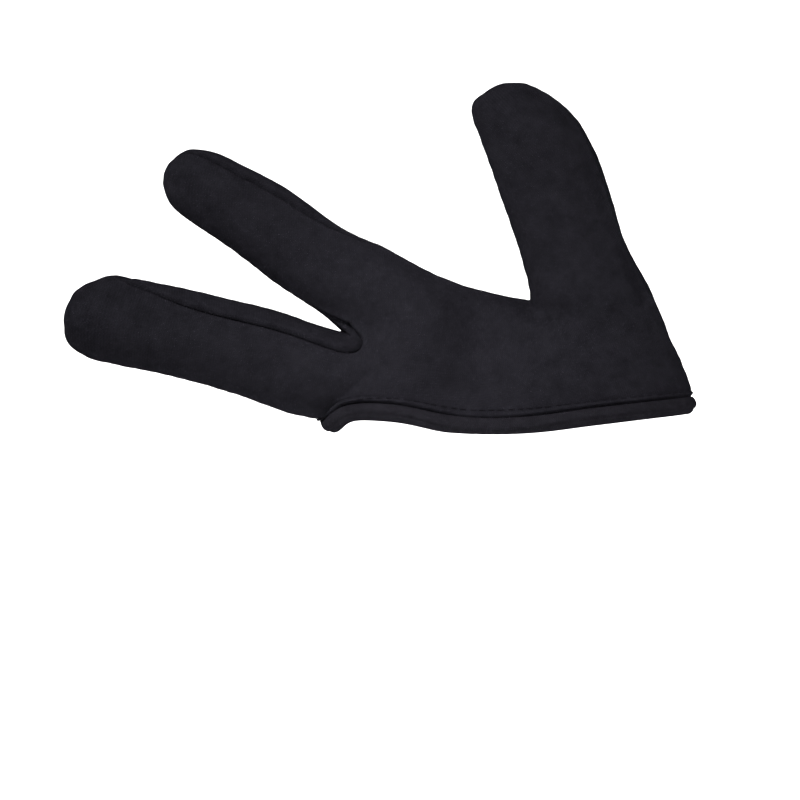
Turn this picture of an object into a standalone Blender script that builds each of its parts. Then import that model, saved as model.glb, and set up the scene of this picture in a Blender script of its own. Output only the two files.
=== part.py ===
"""Heat resistant styling glove for the right hand, palm side towards -Y.

Thumb, index and middle finger are covered. Ring finger, little finger and wrist stay
bare, so the glove is open along its lower side, where a folded band binds the edge.

One coarse cage holds the whole outer surface: three finger tubes, a palm sheet and a back
sheet. It is smoothed by Subdivision Surface, cut along the seams into sewn pieces, and
each piece gets its wall thickness. Lengths are in metres, +X runs from the fingertips to
the wrist and +Z from the open side up to the thumb. The origin is in the middle of the
opening.
"""

import math

import bmesh
import bpy
import numpy as np
from mathutils import Vector

# Fabric and seams
WALL = 0.0024
SEAM_GAP = 0.0003

# Fingers: length from the base section to the tip, width across and depth through
MIDDLE_LENGTH = 0.0748
MIDDLE_WIDTH = 0.0244
MIDDLE_DEPTH = 0.0212
MIDDLE_ANGLE = 168.6
INDEX_LENGTH = 0.0635
INDEX_WIDTH = 0.0224
INDEX_DEPTH = 0.0205
INDEX_ANGLE = 146.2
THUMB_LENGTH = 0.0617
THUMB_WIDTH = 0.0284
THUMB_DEPTH = 0.0235
THUMB_ANGLE = 109.5

# Palm: the opening, the palm's height above it, and each finger's base section by its
# distance from the origin along the glove (setback) and upwards (rise)
OPENING_LENGTH = 0.1014
OPENING_DEPTH = 0.0330
PALM_HEIGHT = 0.0357
MIDDLE_BASE_SETBACK = 0.0495
MIDDLE_BASE_RISE = 0.0126
INDEX_BASE_SETBACK = 0.0403
INDEX_BASE_RISE = 0.0364
THUMB_BASE_SETBACK = 0.0222

# The seam's turn in the crotch of middle and index finger, from the point midway between
# their bases: towards the wrist, out of the palm and down. The saddle is the share of the
# setback that the strip's mid line has there.
CROTCH_SETBACK = 0.0095
CROTCH_RISE = 0.0112
CROTCH_DROP = 0.0031
CROTCH_SADDLE = -0.2

# Hem binding
HEM_HEIGHT = 0.0053
HEM_THICKNESS = 0.0008
# The opening's ends as seen from below: 1 is a plain ellipse, less is blunter
FINGER_END_BLUNTNESS = 0.58
HEEL_END_BLUNTNESS = 0.75
# At the finger end the band turns out of the opening's plane: how suddenly, and how far
# its edge moves inwards and up there, in shares of the height of the panel's edge
HEM_TURN_SHARPNESS = 8
HEM_TURN_IN = 0.6
HEM_TURN_UP = 0.2

SIDES = 12
SEAM_SIDE = SIDES // 2
PALM_LEVELS = SEAM_SIDE - 1
FAIR_ROUNDS = 4
SETTLE_ROUNDS = 5
HEM_ARC_STEPS = 4
# The sharpest corner that a sewn edge's inset may reach into, as a cosine
MITRE_LIMIT = 0.35

# Finger sections from base to tip. along: share of the length. shift: sideways share of
# the width. width and depth: shares of the finger's. lift: towards the palm side, share
# of the depth. roll: degrees that the seams are turned about the finger.
# gusset: half the strip's angle in degrees.
SECTION_COLUMNS = ("along", "shift", "width", "depth", "lift", "roll", "gusset")
MIDDLE_SECTIONS = (
    (0.00, 0.000, 1.05, 1.16, 0.00, 9, 37),
    (0.12, 0.020, 1.05, 1.08, 0.02, 16, 34),
    (0.28, 0.085, 1.03, 1.02, 0.04, 18, 34),
    (0.45, 0.122, 1.00, 0.99, 0.07, 19, 34),
    (0.62, 0.138, 0.98, 0.97, 0.11, 19, 27),
    (0.78, 0.141, 0.98, 0.95, 0.16, 15, 15),
    (0.89, 0.120, 0.90, 0.87, 0.20, 12, 22),
    (0.96, 0.092, 0.66, 0.66, 0.23, 10, 30),
)
INDEX_SECTIONS = (
    (0.00, 0.000, 1.14, 1.20, 0.00, -3, 34),
    (0.13, -0.012, 1.04, 1.08, 0.02, -20, 34),
    (0.32, -0.018, 1.01, 1.02, 0.05, -36, 34),
    (0.52, 0.008, 0.99, 0.98, 0.09, -42, 28),
    (0.72, -0.020, 0.95, 0.95, 0.14, -44, 16),
    (0.87, -0.046, 0.87, 0.86, 0.19, -42, 22),
    (0.95, -0.044, 0.64, 0.66, 0.22, -38, 30),
)
THUMB_SECTIONS = (
    (0.00, 0.000, 1.13, 1.20, 0.03, -16, 30),
    (0.14, -0.003, 1.01, 1.11, 0.07, -18, 30),
    (0.32, 0.010, 1.00, 1.03, 0.12, -20, 30),
    (0.50, 0.017, 1.01, 1.00, 0.17, -20, 30),
    (0.67, 0.000, 0.97, 0.97, 0.21, -20, 30),
    (0.82, -0.062, 0.86, 0.88, 0.25, -20, 30),
    (0.94, -0.160, 0.63, 0.64, 0.28, -20, 30),
)
# How far the base section of each finger leans along the finger, as a slope
BASE_LEAN = {"middle": 0.0, "index": 0.0, "thumb": -0.20}
# Tip points on the seam over the fingertip: across in shares of the last section's half
# width, beyond in shares of the way from the last section to the tip
CAP_COLUMNS = ("across", "beyond")
CAP_POINTS = ((0.52, 0.74), (0.0, 1.0), (-0.52, 0.74))
GUSSET_RINGS = {"middle": 5, "index": 4, "thumb": 0}
# How far the strip's pointed end reaches beyond its last ring, share of the length
GUSSET_POINT = 0.06

# Points of the palm round the crotch's seam, by their column in the sheet. right and
# down: shares of the crotch's setback, from the seam's turn
GUIDE_COLUMNS = ("column", "right", "down")
CROTCH_GUIDES = (
    (1, 0.00, 0.66),
    (2, 0.54, -0.22),
)
# The seam beside its turn, on each finger's base section: how far it is drawn towards the
# wrist and down, in shares of the crotch's setback
TURN_COLUMNS = ("finger", "right", "down")
SEAM_TURN = (
    ("middle", 0.34, 0.26),
    ("index", 0.18, 0.10),
)

# The web between index and thumb: along, share of the way between the two bases, and
# sag, share of the palm height that it lies above (+) or below the straight line
WEB_COLUMNS = ("along", "sag")
WEB_POINTS = ((0.40, -0.080), (0.75, -0.048))
# The heel edge from the thumb's base to the opening: down, share of the way; out, share
# of the palm height outside the straight line; front, share of the opening's depth
# towards the palm side
HEEL_COLUMNS = ("down", "out", "front")
HEEL_POINTS = (
    (0.2, 0.012, 0.11),
    (0.4, 0.014, 0.085),
    (0.6, 0.026, 0.055),
    (0.8, 0.030, 0.03),
)
# The hem's groove line from its left to its right end: along, share of the opening's
# length, and rise, share of the palm height
HEM_LINE = (
    (0.000, 0.000),
    (0.030, 0.075),
    (0.130, 0.130),
    (0.230, 0.105),
    (0.320, 0.045),
    (0.420, 0.015),
    (0.540, 0.025),
    (0.700, 0.085),
    (0.850, 0.135),
    (1.000, 0.180),
)
# Swells of the palm: x and z as shares of the opening's length and the palm height,
# their reaches in the same shares, and height as a share of the opening's depth. They
# fade out within SWELL_FADE of the opening's depth from the middle plane.
SWELL_FADE = 0.25
SWELL_COLUMNS = ("x", "z", "reach_x", "reach_z", "height")
PALM_SWELLS = (
    (-0.34, 0.45, 0.16, 0.60, 0.045),
    (-0.10, 0.50, 0.13, 0.70, -0.070),
    (0.24, 0.70, 0.26, 0.80, 0.090),
)
BACK_SWELLS = (
    (-0.30, 0.60, 0.20, 0.60, 0.040),
    (0.10, 0.50, 0.30, 0.60, -0.030),
)

FABRIC_COLOUR = (0.014, 0.0135, 0.018, 1.0)
BINDING_COLOUR = (0.017, 0.015, 0.018, 1.0)
FABRIC_ROUGHNESS = 0.85

PIECES = ("palm_panel", "back_panel", "finger_gusset")
FRONT, BACK, GUSSET = range(len(PIECES))


def clear_scene():
    for thing in list(bpy.data.objects):
        bpy.data.objects.remove(thing, do_unlink=True)


def fabric(name, colour):
    material = bpy.data.materials.new(name)
    material.use_nodes = True
    shader = material.node_tree.nodes["Principled BSDF"]
    shader.inputs["Base Color"].default_value = colour
    shader.inputs["Roughness"].default_value = FABRIC_ROUGHNESS
    shader.inputs["Metallic"].default_value = 0.0
    return material


def rows(table, columns):
    return [dict(zip(columns, row)) for row in table]


def along_table(table, x):
    """The second column at x, on a smooth curve through the table's points."""
    xs, ys = np.array(table).T
    slopes = np.gradient(ys, xs)
    i = min(max(int(np.searchsorted(xs, x)) - 1, 0), len(xs) - 2)
    step = xs[i + 1] - xs[i]
    t = (x - xs[i]) / step
    h00 = 2 * t**3 - 3 * t**2 + 1
    h10 = t**3 - 2 * t**2 + t
    h01 = 3 * t**2 - 2 * t**3
    h11 = t**3 - t**2
    return h00 * ys[i] + h10 * step * slopes[i] + h01 * ys[i + 1] + h11 * step * slopes[i + 1]


# Which of a point's three coordinates the fairing may move
FIXED = (False, False, False)
DEPTH_FREE = (False, True, False)
ALL_FREE = (True, True, True)


class Cage:
    """Named points, quads with the piece that each belongs to, and the points to fair."""

    def __init__(self):
        self.points = []
        self.index = {}
        self.quads = []
        self.pieces = []
        self.free = []

    def add(self, key, point, free=FIXED):
        self.index[key] = len(self.points)
        self.points.append(np.array(point, float))
        self.free.append(free)

    def at(self, key):
        return self.points[self.index[key]]

    def quad(self, keys, piece):
        self.quads.append([self.index[key] for key in keys])
        self.pieces.append(piece)


def finger_frame(angle):
    """Unit vectors along a finger to its tip, and across it upwards or outwards."""
    a = math.radians(angle)
    along = np.array((math.cos(a), 0.0, math.sin(a)))
    across = np.array((math.sin(a), 0.0, -math.cos(a)))
    return along, across


def side_angles(gusset):
    """Angles of a section's points: the gusset's mid line, its seam, then evenly round."""
    g = math.radians(gusset)
    half = [0.0] + [g + (math.pi - g) * k / (SEAM_SIDE - 1) for k in range(SEAM_SIDE)]
    return half + [-a for a in reversed(half[1:-1])]


def add_finger(cage, name, base, size, angle, sections, first_side):
    """A finger tube. first_side is +1 where point 0 is on the upper side, else -1."""
    length, width, depth = size
    along, across = finger_frame(angle)
    across = across * first_side
    palmward = np.array((0.0, -1.0, 0.0))
    sections = rows(sections, SECTION_COLUMNS)
    for ring, s in enumerate(sections):
        centre = base + along * length * s["along"]
        centre = centre + across * first_side * width * s["shift"]
        centre = centre + palmward * depth * s["lift"]
        lean = BASE_LEAN[name] if ring == 0 else 0.0
        for k, a in enumerate(side_angles(s["gusset"])):
            a += math.radians(s["roll"])
            out = 0.5 * width * s["width"] * math.cos(a)
            up = 0.5 * depth * s["depth"] * math.sin(a)
            point = centre + across * out + palmward * up
            point = point + along * lean * out * first_side
            if k == 0 and 0 < ring == GUSSET_RINGS[name]:
                point = point + along * length * GUSSET_POINT
            seam = k in (0, 1, SEAM_SIDE, SIDES - 1)
            cage.add((name, ring, k), point, ALL_FREE if ring == 0 and not seam else FIXED)
    last = len(sections) - 1
    for ring in range(last):
        for k in range(SIDES):
            strip = k in (0, SIDES - 1) and ring < GUSSET_RINGS[name]
            piece = GUSSET if strip else FRONT if k < SEAM_SIDE else BACK
            n = (k + 1) % SIDES
            keys = [(name, ring, k), (name, ring, n), (name, ring + 1, n), (name, ring + 1, k)]
            cage.quad(keys, piece)
    add_fingertip(cage, name, base + along * length, along, last)


def add_fingertip(cage, name, tip, along, last):
    """Closes a finger over its tip, with the seam running across the middle."""
    ends = cage.at((name, last, 0)), cage.at((name, last, SEAM_SIDE))
    middle = 0.5 * (ends[0] + ends[1])
    half = 0.5 * (ends[0] - ends[1])
    beyond = along * (tip - middle).dot(along)
    for n, c in enumerate(rows(CAP_POINTS, CAP_COLUMNS), 1):
        cage.add((name, "cap", n), middle + half * c["across"] + beyond * c["beyond"])
    seam = [(name, last, 0)] + [(name, "cap", n) for n in (1, 2, 3)] + [(name, last, SEAM_SIDE)]
    front = [(name, last, k) for k in range(1, SEAM_SIDE)]
    back = [(name, last, SIDES - k) for k in range(1, SEAM_SIDE)]
    for n in range(len(seam) - 1):
        cage.quad([seam[n], front[n], front[n + 1], seam[n + 1]], FRONT)
        cage.quad([seam[n + 1], back[n + 1], back[n], seam[n]], BACK)


def hem_point(share_angle, front):
    """A point of the hem's groove line, and one at the panel's edge below it."""
    along = 0.5 * (1 - math.cos(share_angle))
    x = OPENING_LENGTH * (along - 0.5)
    blunt = FINGER_END_BLUNTNESS if along < 0.5 else HEEL_END_BLUNTNESS
    y = -front * 0.5 * OPENING_DEPTH * max(math.sin(share_angle), 0.0) ** blunt
    z = PALM_HEIGHT * along_table(HEM_LINE, along)
    inside = HEM_HEIGHT - WALL / 2 - SEAM_GAP - HEM_THICKNESS
    turn = math.cos(share_angle) ** HEM_TURN_SHARPNESS if along < 0.5 else 0.0
    step_in = HEM_TURN_IN * inside * turn
    down = inside * (1 - HEM_TURN_UP * turn)
    return np.array((x, y, z)), np.array((x + step_in, y, z - down))


def sheet_edges():
    """Keys of each sheet's upper and left edge points, for the palm (1) and the back (-1)."""
    edges = {}
    for front in (1, -1):

        def ring(name, k, front=front):
            return (name, 0, k if front > 0 else (SIDES - k) % SIDES)

        top = [ring("middle", 1), ("crotch", front)]
        top += [ring("index", k) for k in range(1, SEAM_SIDE + 1)]
        top += [("web", n) for n in range(len(WEB_POINTS))]
        top += [ring("thumb", k) for k in range(SEAM_SIDE + 1)]
        edges[front] = top, [ring("middle", k) for k in range(1, SEAM_SIDE + 1)]
    return edges


def add_web(cage):
    left, right = cage.at(("index", 0, SEAM_SIDE)), cage.at(("thumb", 0, 0))
    for n, w in enumerate(rows(WEB_POINTS, WEB_COLUMNS)):
        point = left * (1 - w["along"]) + right * w["along"]
        cage.add(("web", n), point + np.array((0, 0, PALM_HEIGHT * w["sag"])))


def add_crotch(cage):
    """The strip's turn between middle and index finger, and the palm's points round it."""
    for turn in rows(SEAM_TURN, TURN_COLUMNS):
        for k in (1, SIDES - 1):
            seam = cage.at((turn["finger"], 0, k))
            seam += CROTCH_SETBACK * np.array((turn["right"], 0, -turn["down"]))
    saddle = 0.5 * (cage.at(("middle", 0, 0)) + cage.at(("index", 0, 0)))
    cage.add(("crotch", 0), saddle + np.array((CROTCH_SADDLE * CROTCH_SETBACK, 0, 0)))
    for front in (1, -1):
        point = saddle + np.array((CROTCH_SETBACK, -front * CROTCH_RISE, -CROTCH_DROP))
        cage.add(("crotch", front), point)
        for g in rows(CROTCH_GUIDES, GUIDE_COLUMNS):
            away = CROTCH_SETBACK * np.array((g["right"], 0, -g["down"]))
            cage.add(("palm", front, g["column"], 1), point + away, DEPTH_FREE)


def add_hem_rows(cage, last):
    """The groove line and the panels' edge below it, round the whole opening."""
    for front in (1, -1):
        for j in range(1, last):
            groove, edge = hem_point(math.pi * j / last, front)
            cage.add(("palm", front, j, PALM_LEVELS), groove)
            cage.add(("palm", front, j, PALM_LEVELS + 1), edge)
    groove, edge = hem_point(math.pi, 1)
    cage.add(("palm", "seam", last, PALM_LEVELS), groove)
    cage.add(("palm", "seam", last, PALM_LEVELS + 1), edge)
    edge = hem_point(0.0, 1)[1]
    edge[1] = cage.at(("middle", 0, SEAM_SIDE))[1]
    cage.add(("palm", "seam", 0, PALM_LEVELS + 1), edge)


def add_heel(cage, last):
    wrist = cage.at(("palm", "seam", last, PALM_LEVELS))
    top = cage.at(("thumb", 0, SEAM_SIDE))
    for i, h in enumerate(rows(HEEL_POINTS, HEEL_COLUMNS), 1):
        point = top * (1 - h["down"]) + wrist * h["down"]
        point = point + PALM_HEIGHT * np.array((h["out"], 0, 0))
        point[1] = -OPENING_DEPTH * h["front"]
        cage.add(("palm", "seam", last, i), point)


def add_palm(cage):
    """The palm's and the back's sheets, from the fingers' bases down to the opening."""
    add_web(cage)
    add_crotch(cage)
    edges = sheet_edges()
    last = len(edges[1][0]) - 1
    add_hem_rows(cage, last)
    add_heel(cage, last)
    for front, (top, left) in edges.items():
        grid = palm_grid(cage, front, top, left)
        piece = FRONT if front > 0 else BACK
        for j in range(last):
            for i in range(PALM_LEVELS + 1):
                cage.quad([grid[i][j], grid[i + 1][j], grid[i + 1][j + 1], grid[i][j + 1]], piece)
        for name in ("middle", "index"):
            seam = (name, 0, 1 if front > 0 else SIDES - 1)
            cage.quad([(name, 0, 0), seam, ("crotch", front), ("crotch", 0)], GUSSET)


def palm_grid(cage, front, top, left):
    """The sheet's keys row by row, with its inner points placed between its edges."""
    last = len(top) - 1
    grid = [list(top)]
    for i in range(1, PALM_LEVELS + 2):
        row = [left[i] if i <= PALM_LEVELS else ("palm", "seam", 0, i)]
        for j in range(1, last):
            key = ("palm", front, j, i)
            if key not in cage.index:
                v = i / PALM_LEVELS
                u = j / last
                bottom = cage.at(("palm", front, j, PALM_LEVELS))
                right = cage.at(("palm", "seam", last, i))
                corners = (
                    (1 - u) * (1 - v) * cage.at(top[0])
                    + u * (1 - v) * cage.at(top[last])
                    + (1 - u) * v * cage.at(left[PALM_LEVELS])
                    + u * v * cage.at(("palm", "seam", last, PALM_LEVELS))
                )
                point = (1 - v) * cage.at(top[j]) + v * bottom
                point = point + (1 - u) * cage.at(left[i]) + u * right - corners
                cage.add(key, point, ALL_FREE)
            row.append(key)
        row.append(("palm", "seam", last, i))
        grid.append(row)
    return grid


def neighbours(count, quads):
    """For each point: those one edge away, those across a quad, and those along the rim."""
    near = [set() for _ in range(count)]
    across = [[] for _ in range(count)]
    edges = {}
    for quad in quads:
        for n in range(4):
            a, b, c = quad[n], quad[(n + 1) % 4], quad[(n + 2) % 4]
            near[a].add(b)
            near[b].add(a)
            across[a].append(c)
            edge = (min(a, b), max(a, b))
            edges[edge] = edges.get(edge, 0) + 1
    rim = [set() for _ in range(count)]
    for (a, b), uses in edges.items():
        if uses == 1:
            rim[a].add(b)
            rim[b].add(a)
    return near, across, rim


def fair(cage):
    """Moves the free points to where the sheet bends least between the fixed ones."""
    count = len(cage.points)
    near, _, rim = neighbours(count, cage.quads)
    creased = {i for key, i in cage.index.items() if key[0] == "crotch"}
    for name in ("middle", "index"):
        creased |= {cage.index[(name, 0, k)] for k in (0, 1, SIDES - 1)}
    inner = [i for i in range(count) if not rim[i] and i not in creased]
    points = np.array(cage.points)
    free = np.array(cage.free)
    for _ in range(FAIR_ROUNDS):
        bend = np.zeros((len(inner), count))
        for row, i in enumerate(inner):
            pulls = {n: 1.0 / np.linalg.norm(points[n] - points[i]) for n in near[i]}
            total = sum(pulls.values())
            bend[row, i] = 1.0
            for n, pull in pulls.items():
                bend[row, n] = -pull / total
        for axis in range(3):
            move = free[:, axis]
            held = -bend[:, ~move] @ points[~move, axis]
            points[move, axis] = np.linalg.lstsq(bend[:, move], held, rcond=None)[0]
    return points


def swell(points, cage):
    """Raises and lowers the palm and the back of the hand, along Y."""
    out = points.copy()
    for i, (x, y, z) in enumerate(points):
        if not cage.free[i][1]:
            continue
        side = 1 if y < 0 else -1
        fade = min(1.0, abs(y) / (SWELL_FADE * OPENING_DEPTH))
        for s in rows(PALM_SWELLS if side > 0 else BACK_SWELLS, SWELL_COLUMNS):
            dx = (x / OPENING_LENGTH - s["x"]) / s["reach_x"]
            dz = (z / PALM_HEIGHT - s["z"]) / s["reach_z"]
            rise = s["height"] * OPENING_DEPTH * math.exp(-dx * dx - dz * dz)
            out[i][1] -= side * rise * fade
    return out


def settle(points, cage_map):
    """Moves the cage so that the smooth surface, not the cage, goes through the points.

    A sheet's inner points move in depth alone. The turn in the crotch is too tight to
    settle, so its seam stays where it is and the points round it lie as deep as those
    beside them.
    """
    near, across, rim = neighbours(len(points), cage_map.quads)
    turn = [cage_map.index[("crotch", side)] for side in (0, 1, -1)]
    inner = [i for key, i in cage_map.index.items() if key[0] == "palm" and cage_map.free[i][1]]
    target = points.copy()
    cage = points.copy()
    for _ in range(SETTLE_ROUNDS):
        limit = np.empty_like(cage)
        for i, p in enumerate(cage):
            if rim[i]:
                limit[i] = (4 * p + sum(cage[n] for n in rim[i])) / 6
            else:
                n = len(near[i])
                edge = sum(cage[m] for m in near[i])
                face = sum(cage[m] for m in across[i])
                limit[i] = (n * n * p + 4 * edge + face) / (n * (n + 5))
        move = target - limit
        move[turn] = 0.0
        move[inner, 0] = 0.0
        move[inner, 2] = 0.0
        cage += move
    for front in (1, -1):
        for guide in rows(CROTCH_GUIDES, GUIDE_COLUMNS):
            i = cage_map.index[("palm", front, guide["column"], 1)]
            cage[i, 1] = np.mean([cage[n, 1] for n in near[i]])
    return cage


def build_cage():
    cage = Cage()
    middle_base = np.array((-MIDDLE_BASE_SETBACK, 0.0, MIDDLE_BASE_RISE))
    index_base = np.array((-INDEX_BASE_SETBACK, 0.0, INDEX_BASE_RISE))
    thumb_base = np.array((THUMB_BASE_SETBACK, 0.0, PALM_HEIGHT))
    size = (MIDDLE_LENGTH, MIDDLE_WIDTH, MIDDLE_DEPTH)
    add_finger(cage, "middle", middle_base, size, MIDDLE_ANGLE, MIDDLE_SECTIONS, 1)
    size = (INDEX_LENGTH, INDEX_WIDTH, INDEX_DEPTH)
    add_finger(cage, "index", index_base, size, INDEX_ANGLE, INDEX_SECTIONS, -1)
    size = (THUMB_LENGTH, THUMB_WIDTH, THUMB_DEPTH)
    add_finger(cage, "thumb", thumb_base, size, THUMB_ANGLE, THUMB_SECTIONS, -1)
    add_palm(cage)
    return cage


def outward_mesh(points, quads):
    """The cage as a mesh with all its faces turned the same way, outwards."""
    mesh = bpy.data.meshes.new("surface")
    mesh.from_pydata([Vector(p) for p in points], [], quads)
    sheet = bmesh.new()
    sheet.from_mesh(mesh)
    bmesh.ops.recalc_face_normals(sheet, faces=sheet.faces)
    middle = Vector(np.mean(points, axis=0))
    outward = sum((f.calc_center_median() - middle).dot(f.normal) * f.calc_area() for f in sheet.faces)
    if outward < 0:
        bmesh.ops.reverse_faces(sheet, faces=sheet.faces)
    sheet.to_mesh(mesh)
    sheet.free()
    return mesh


def smooth_surface():
    """The whole outer surface: coordinates, normals, faces and each face's piece."""
    cage = build_cage()
    points = settle(swell(fair(cage), cage), cage)
    mesh = outward_mesh(points, cage.quads)
    mesh.polygons.foreach_set("material_index", cage.pieces)
    for name in PIECES:
        mesh.materials.append(bpy.data.materials[name])
    surface = bpy.data.objects.new("surface", mesh)
    bpy.context.scene.collection.objects.link(surface)
    smooth = surface.modifiers.new("smooth", "SUBSURF")
    smooth.levels = 1
    smooth.render_levels = 1
    smooth.boundary_smooth = "ALL"
    evaluated = surface.evaluated_get(bpy.context.evaluated_depsgraph_get())
    fine = bpy.data.meshes.new_from_object(evaluated)
    coords = np.array([v.co[:] for v in fine.vertices], float)
    normals = np.array([v.normal[:] for v in fine.vertices], float)
    faces = [list(p.vertices) for p in fine.polygons]
    pieces = [p.material_index for p in fine.polygons]
    bpy.data.objects.remove(surface, do_unlink=True)
    bpy.data.meshes.remove(fine)
    return coords, normals, faces, pieces


def unit(v):
    return v / np.linalg.norm(v)


def rim_edges(faces):
    """Directed edges that only one face uses."""
    directed = {(f[n], f[(n + 1) % len(f)]) for f in faces for n in range(len(f))}
    return [(a, b) for a, b in directed if (b, a) not in directed]


def seam_insets(coords, normals, faces, open_rim):
    """How far each point on a piece's sewn edge is drawn back into the piece."""
    inward = {}
    for a, b in rim_edges(faces):
        if a in open_rim and b in open_rim:
            continue
        for point in (a, b):
            away = unit(np.cross(normals[point], coords[b] - coords[a]))
            inward.setdefault(point, []).append(away)
    insets = {}
    for point, sides in inward.items():
        mitre = sum(sides)
        reach = max(MITRE_LIMIT, float(mitre.dot(mitre)) / len(sides))
        insets[point] = mitre * (SEAM_GAP / 2) / reach
    return insets


def rim_triangles(a, b, count, low_first):
    """A seam's wall between two outer points and the inner ones below them.

    Both pieces of a seam split it along the same diagonal, so twisted walls stay parallel.
    """
    if low_first:
        return [[b, a, b + count], [a, a + count, b + count]]
    return [[b, a, a + count], [b, a + count, b + count]]


def panel(name, coords, normals, faces, open_rim):
    """One sewn piece: its part of the surface, drawn back at the seams, with its wall."""
    insets = seam_insets(coords, normals, faces, open_rim)
    used = sorted({i for face in faces for i in face})
    number = {old: new for new, old in enumerate(used)}
    count = len(used)
    outer = [coords[i] + insets.get(i, 0.0) for i in used]
    inner = [p - normals[i] * WALL for p, i in zip(outer, used)]
    solid = [[number[i] for i in face] for face in faces]
    solid += [[number[i] + count for i in reversed(face)] for face in faces]
    for a, b in rim_edges(faces):
        solid += rim_triangles(number[a], number[b], count, a < b)
    mesh = bpy.data.meshes.new(name)
    mesh.from_pydata([Vector(p) for p in outer + inner], [], solid)
    return mesh


def opening_loop(coords, faces):
    """The open rim's points in order."""
    following = dict(rim_edges(faces))
    start = min(following, key=lambda i: tuple(coords[i]))
    loop = [start]
    while following[loop[-1]] != start:
        loop.append(following[loop[-1]])
    return loop


def rows_above(edge, faces):
    """The two rows of points above the open rim, each in the rim's order."""
    near, _, _ = neighbours(max(max(f) for f in faces) + 1, faces)
    seen = set(edge)
    found = []
    row = edge
    for _ in range(2):
        row = [[n for n in near[i] if n not in seen][0] for i in row]
        seen |= set(row)
        found.append(row)
    return found


def binding_section(at, normal_at, low, middle, high):
    """Points of the U from the outer groove line, round the panel's edge, to the inner."""
    clear = SEAM_GAP + HEM_THICKNESS / 2
    normal = unit(normal_at[low])
    down = at[low] - at[high]
    down = unit(down - normal * down.dot(normal))
    centre = at[low] - normal * WALL / 2
    section = [at[i] + unit(normal_at[i]) * clear for i in (high, middle)]
    for step in range(HEM_ARC_STEPS + 1):
        a = math.pi * step / HEM_ARC_STEPS
        turn = normal * math.cos(a) + down * math.sin(a)
        section.append(centre + (WALL / 2 + clear) * turn)
    return section + [at[i] - unit(normal_at[i]) * (WALL + clear) for i in (middle, high)]


def binding(coords, normals, faces):
    """The band round the opening: a U that clasps the panels' edge, given its thickness."""
    edge = opening_loop(coords, faces)
    sections = [
        binding_section(coords, normals, low, middle, high)
        for low, middle, high in zip(edge, *rows_above(edge, faces))
    ]
    width = len(sections[0])
    quads = []
    for n in range(len(sections)):
        m = (n + 1) % len(sections)
        for k in range(width - 1):
            quads.append([n * width + k, n * width + k + 1, m * width + k + 1, m * width + k])
    mesh = outward_mesh([p for section in sections for p in section], quads)
    mesh.name = "hem_binding"
    return mesh


def add_piece(collection, name, mesh):
    mesh.materials.append(bpy.data.materials[name])
    mesh.shade_smooth()
    piece = bpy.data.objects.new(name, mesh)
    collection.objects.link(piece)
    return piece


def main():
    clear_scene()
    for name in PIECES:
        fabric(name, FABRIC_COLOUR)
    fabric("hem_binding", BINDING_COLOUR)
    glove = bpy.data.collections.new("styling_glove")
    bpy.context.scene.collection.children.link(glove)
    coords, normals, faces, pieces = smooth_surface()
    open_rim = {i for edge in rim_edges(faces) for i in edge}
    for number, name in enumerate(PIECES):
        own = [face for face, piece in zip(faces, pieces) if piece == number]
        add_piece(glove, name, panel(name, coords, normals, own, open_rim))
    hem = add_piece(glove, "hem_binding", binding(coords, normals, faces))
    wall = hem.modifiers.new("wall", "SOLIDIFY")
    wall.thickness = HEM_THICKNESS
    wall.offset = 0.0


main()
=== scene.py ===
"""Looks of the heat resistant styling glove: its cloth, seams, bound edge, light and camera.

The outer surface comes from the same named sizes as the solids, as one finer mesh. It gets
its relief while it is whole, so that both sides of each seam match, and is then cut into
the sewn pieces, each with its inner wall. Lengths are in metres, +X runs from the
fingertips to the wrist, -Y is the palm side and +Z runs up to the thumb.
"""

import math

import bmesh
import bpy
import numpy as np
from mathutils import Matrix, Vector, kdtree, noise


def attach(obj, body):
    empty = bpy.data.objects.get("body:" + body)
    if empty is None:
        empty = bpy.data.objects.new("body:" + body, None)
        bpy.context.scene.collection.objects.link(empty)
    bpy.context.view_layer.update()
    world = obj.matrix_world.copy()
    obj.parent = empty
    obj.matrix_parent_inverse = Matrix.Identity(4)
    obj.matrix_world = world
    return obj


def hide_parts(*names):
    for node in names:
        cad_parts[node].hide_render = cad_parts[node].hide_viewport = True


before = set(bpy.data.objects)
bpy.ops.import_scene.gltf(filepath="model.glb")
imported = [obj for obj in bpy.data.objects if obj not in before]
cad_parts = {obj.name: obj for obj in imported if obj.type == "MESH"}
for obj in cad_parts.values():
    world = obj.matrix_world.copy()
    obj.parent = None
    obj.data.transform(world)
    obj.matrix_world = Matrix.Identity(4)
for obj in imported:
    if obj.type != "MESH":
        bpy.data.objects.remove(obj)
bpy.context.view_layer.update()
MM = 0.001

# Fabric and seams
WALL = 0.0024
SEAM_GAP = 0.0003

# Fingers: length from the base section to the tip, width across and depth through
MIDDLE_LENGTH = 0.0748
MIDDLE_WIDTH = 0.0244
MIDDLE_DEPTH = 0.0212
MIDDLE_ANGLE = 168.6
INDEX_LENGTH = 0.0635
INDEX_WIDTH = 0.0224
INDEX_DEPTH = 0.0205
INDEX_ANGLE = 146.2
THUMB_LENGTH = 0.0617
THUMB_WIDTH = 0.0284
THUMB_DEPTH = 0.0235
THUMB_ANGLE = 109.5

# Palm: the opening, the palm's height above it, and each finger's base section by its
# distance from the origin along the glove (setback) and upwards (rise)
OPENING_LENGTH = 0.1014
OPENING_DEPTH = 0.0330
PALM_HEIGHT = 0.0357
MIDDLE_BASE_SETBACK = 0.0495
MIDDLE_BASE_RISE = 0.0126
INDEX_BASE_SETBACK = 0.0403
INDEX_BASE_RISE = 0.0364
THUMB_BASE_SETBACK = 0.0222

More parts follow.
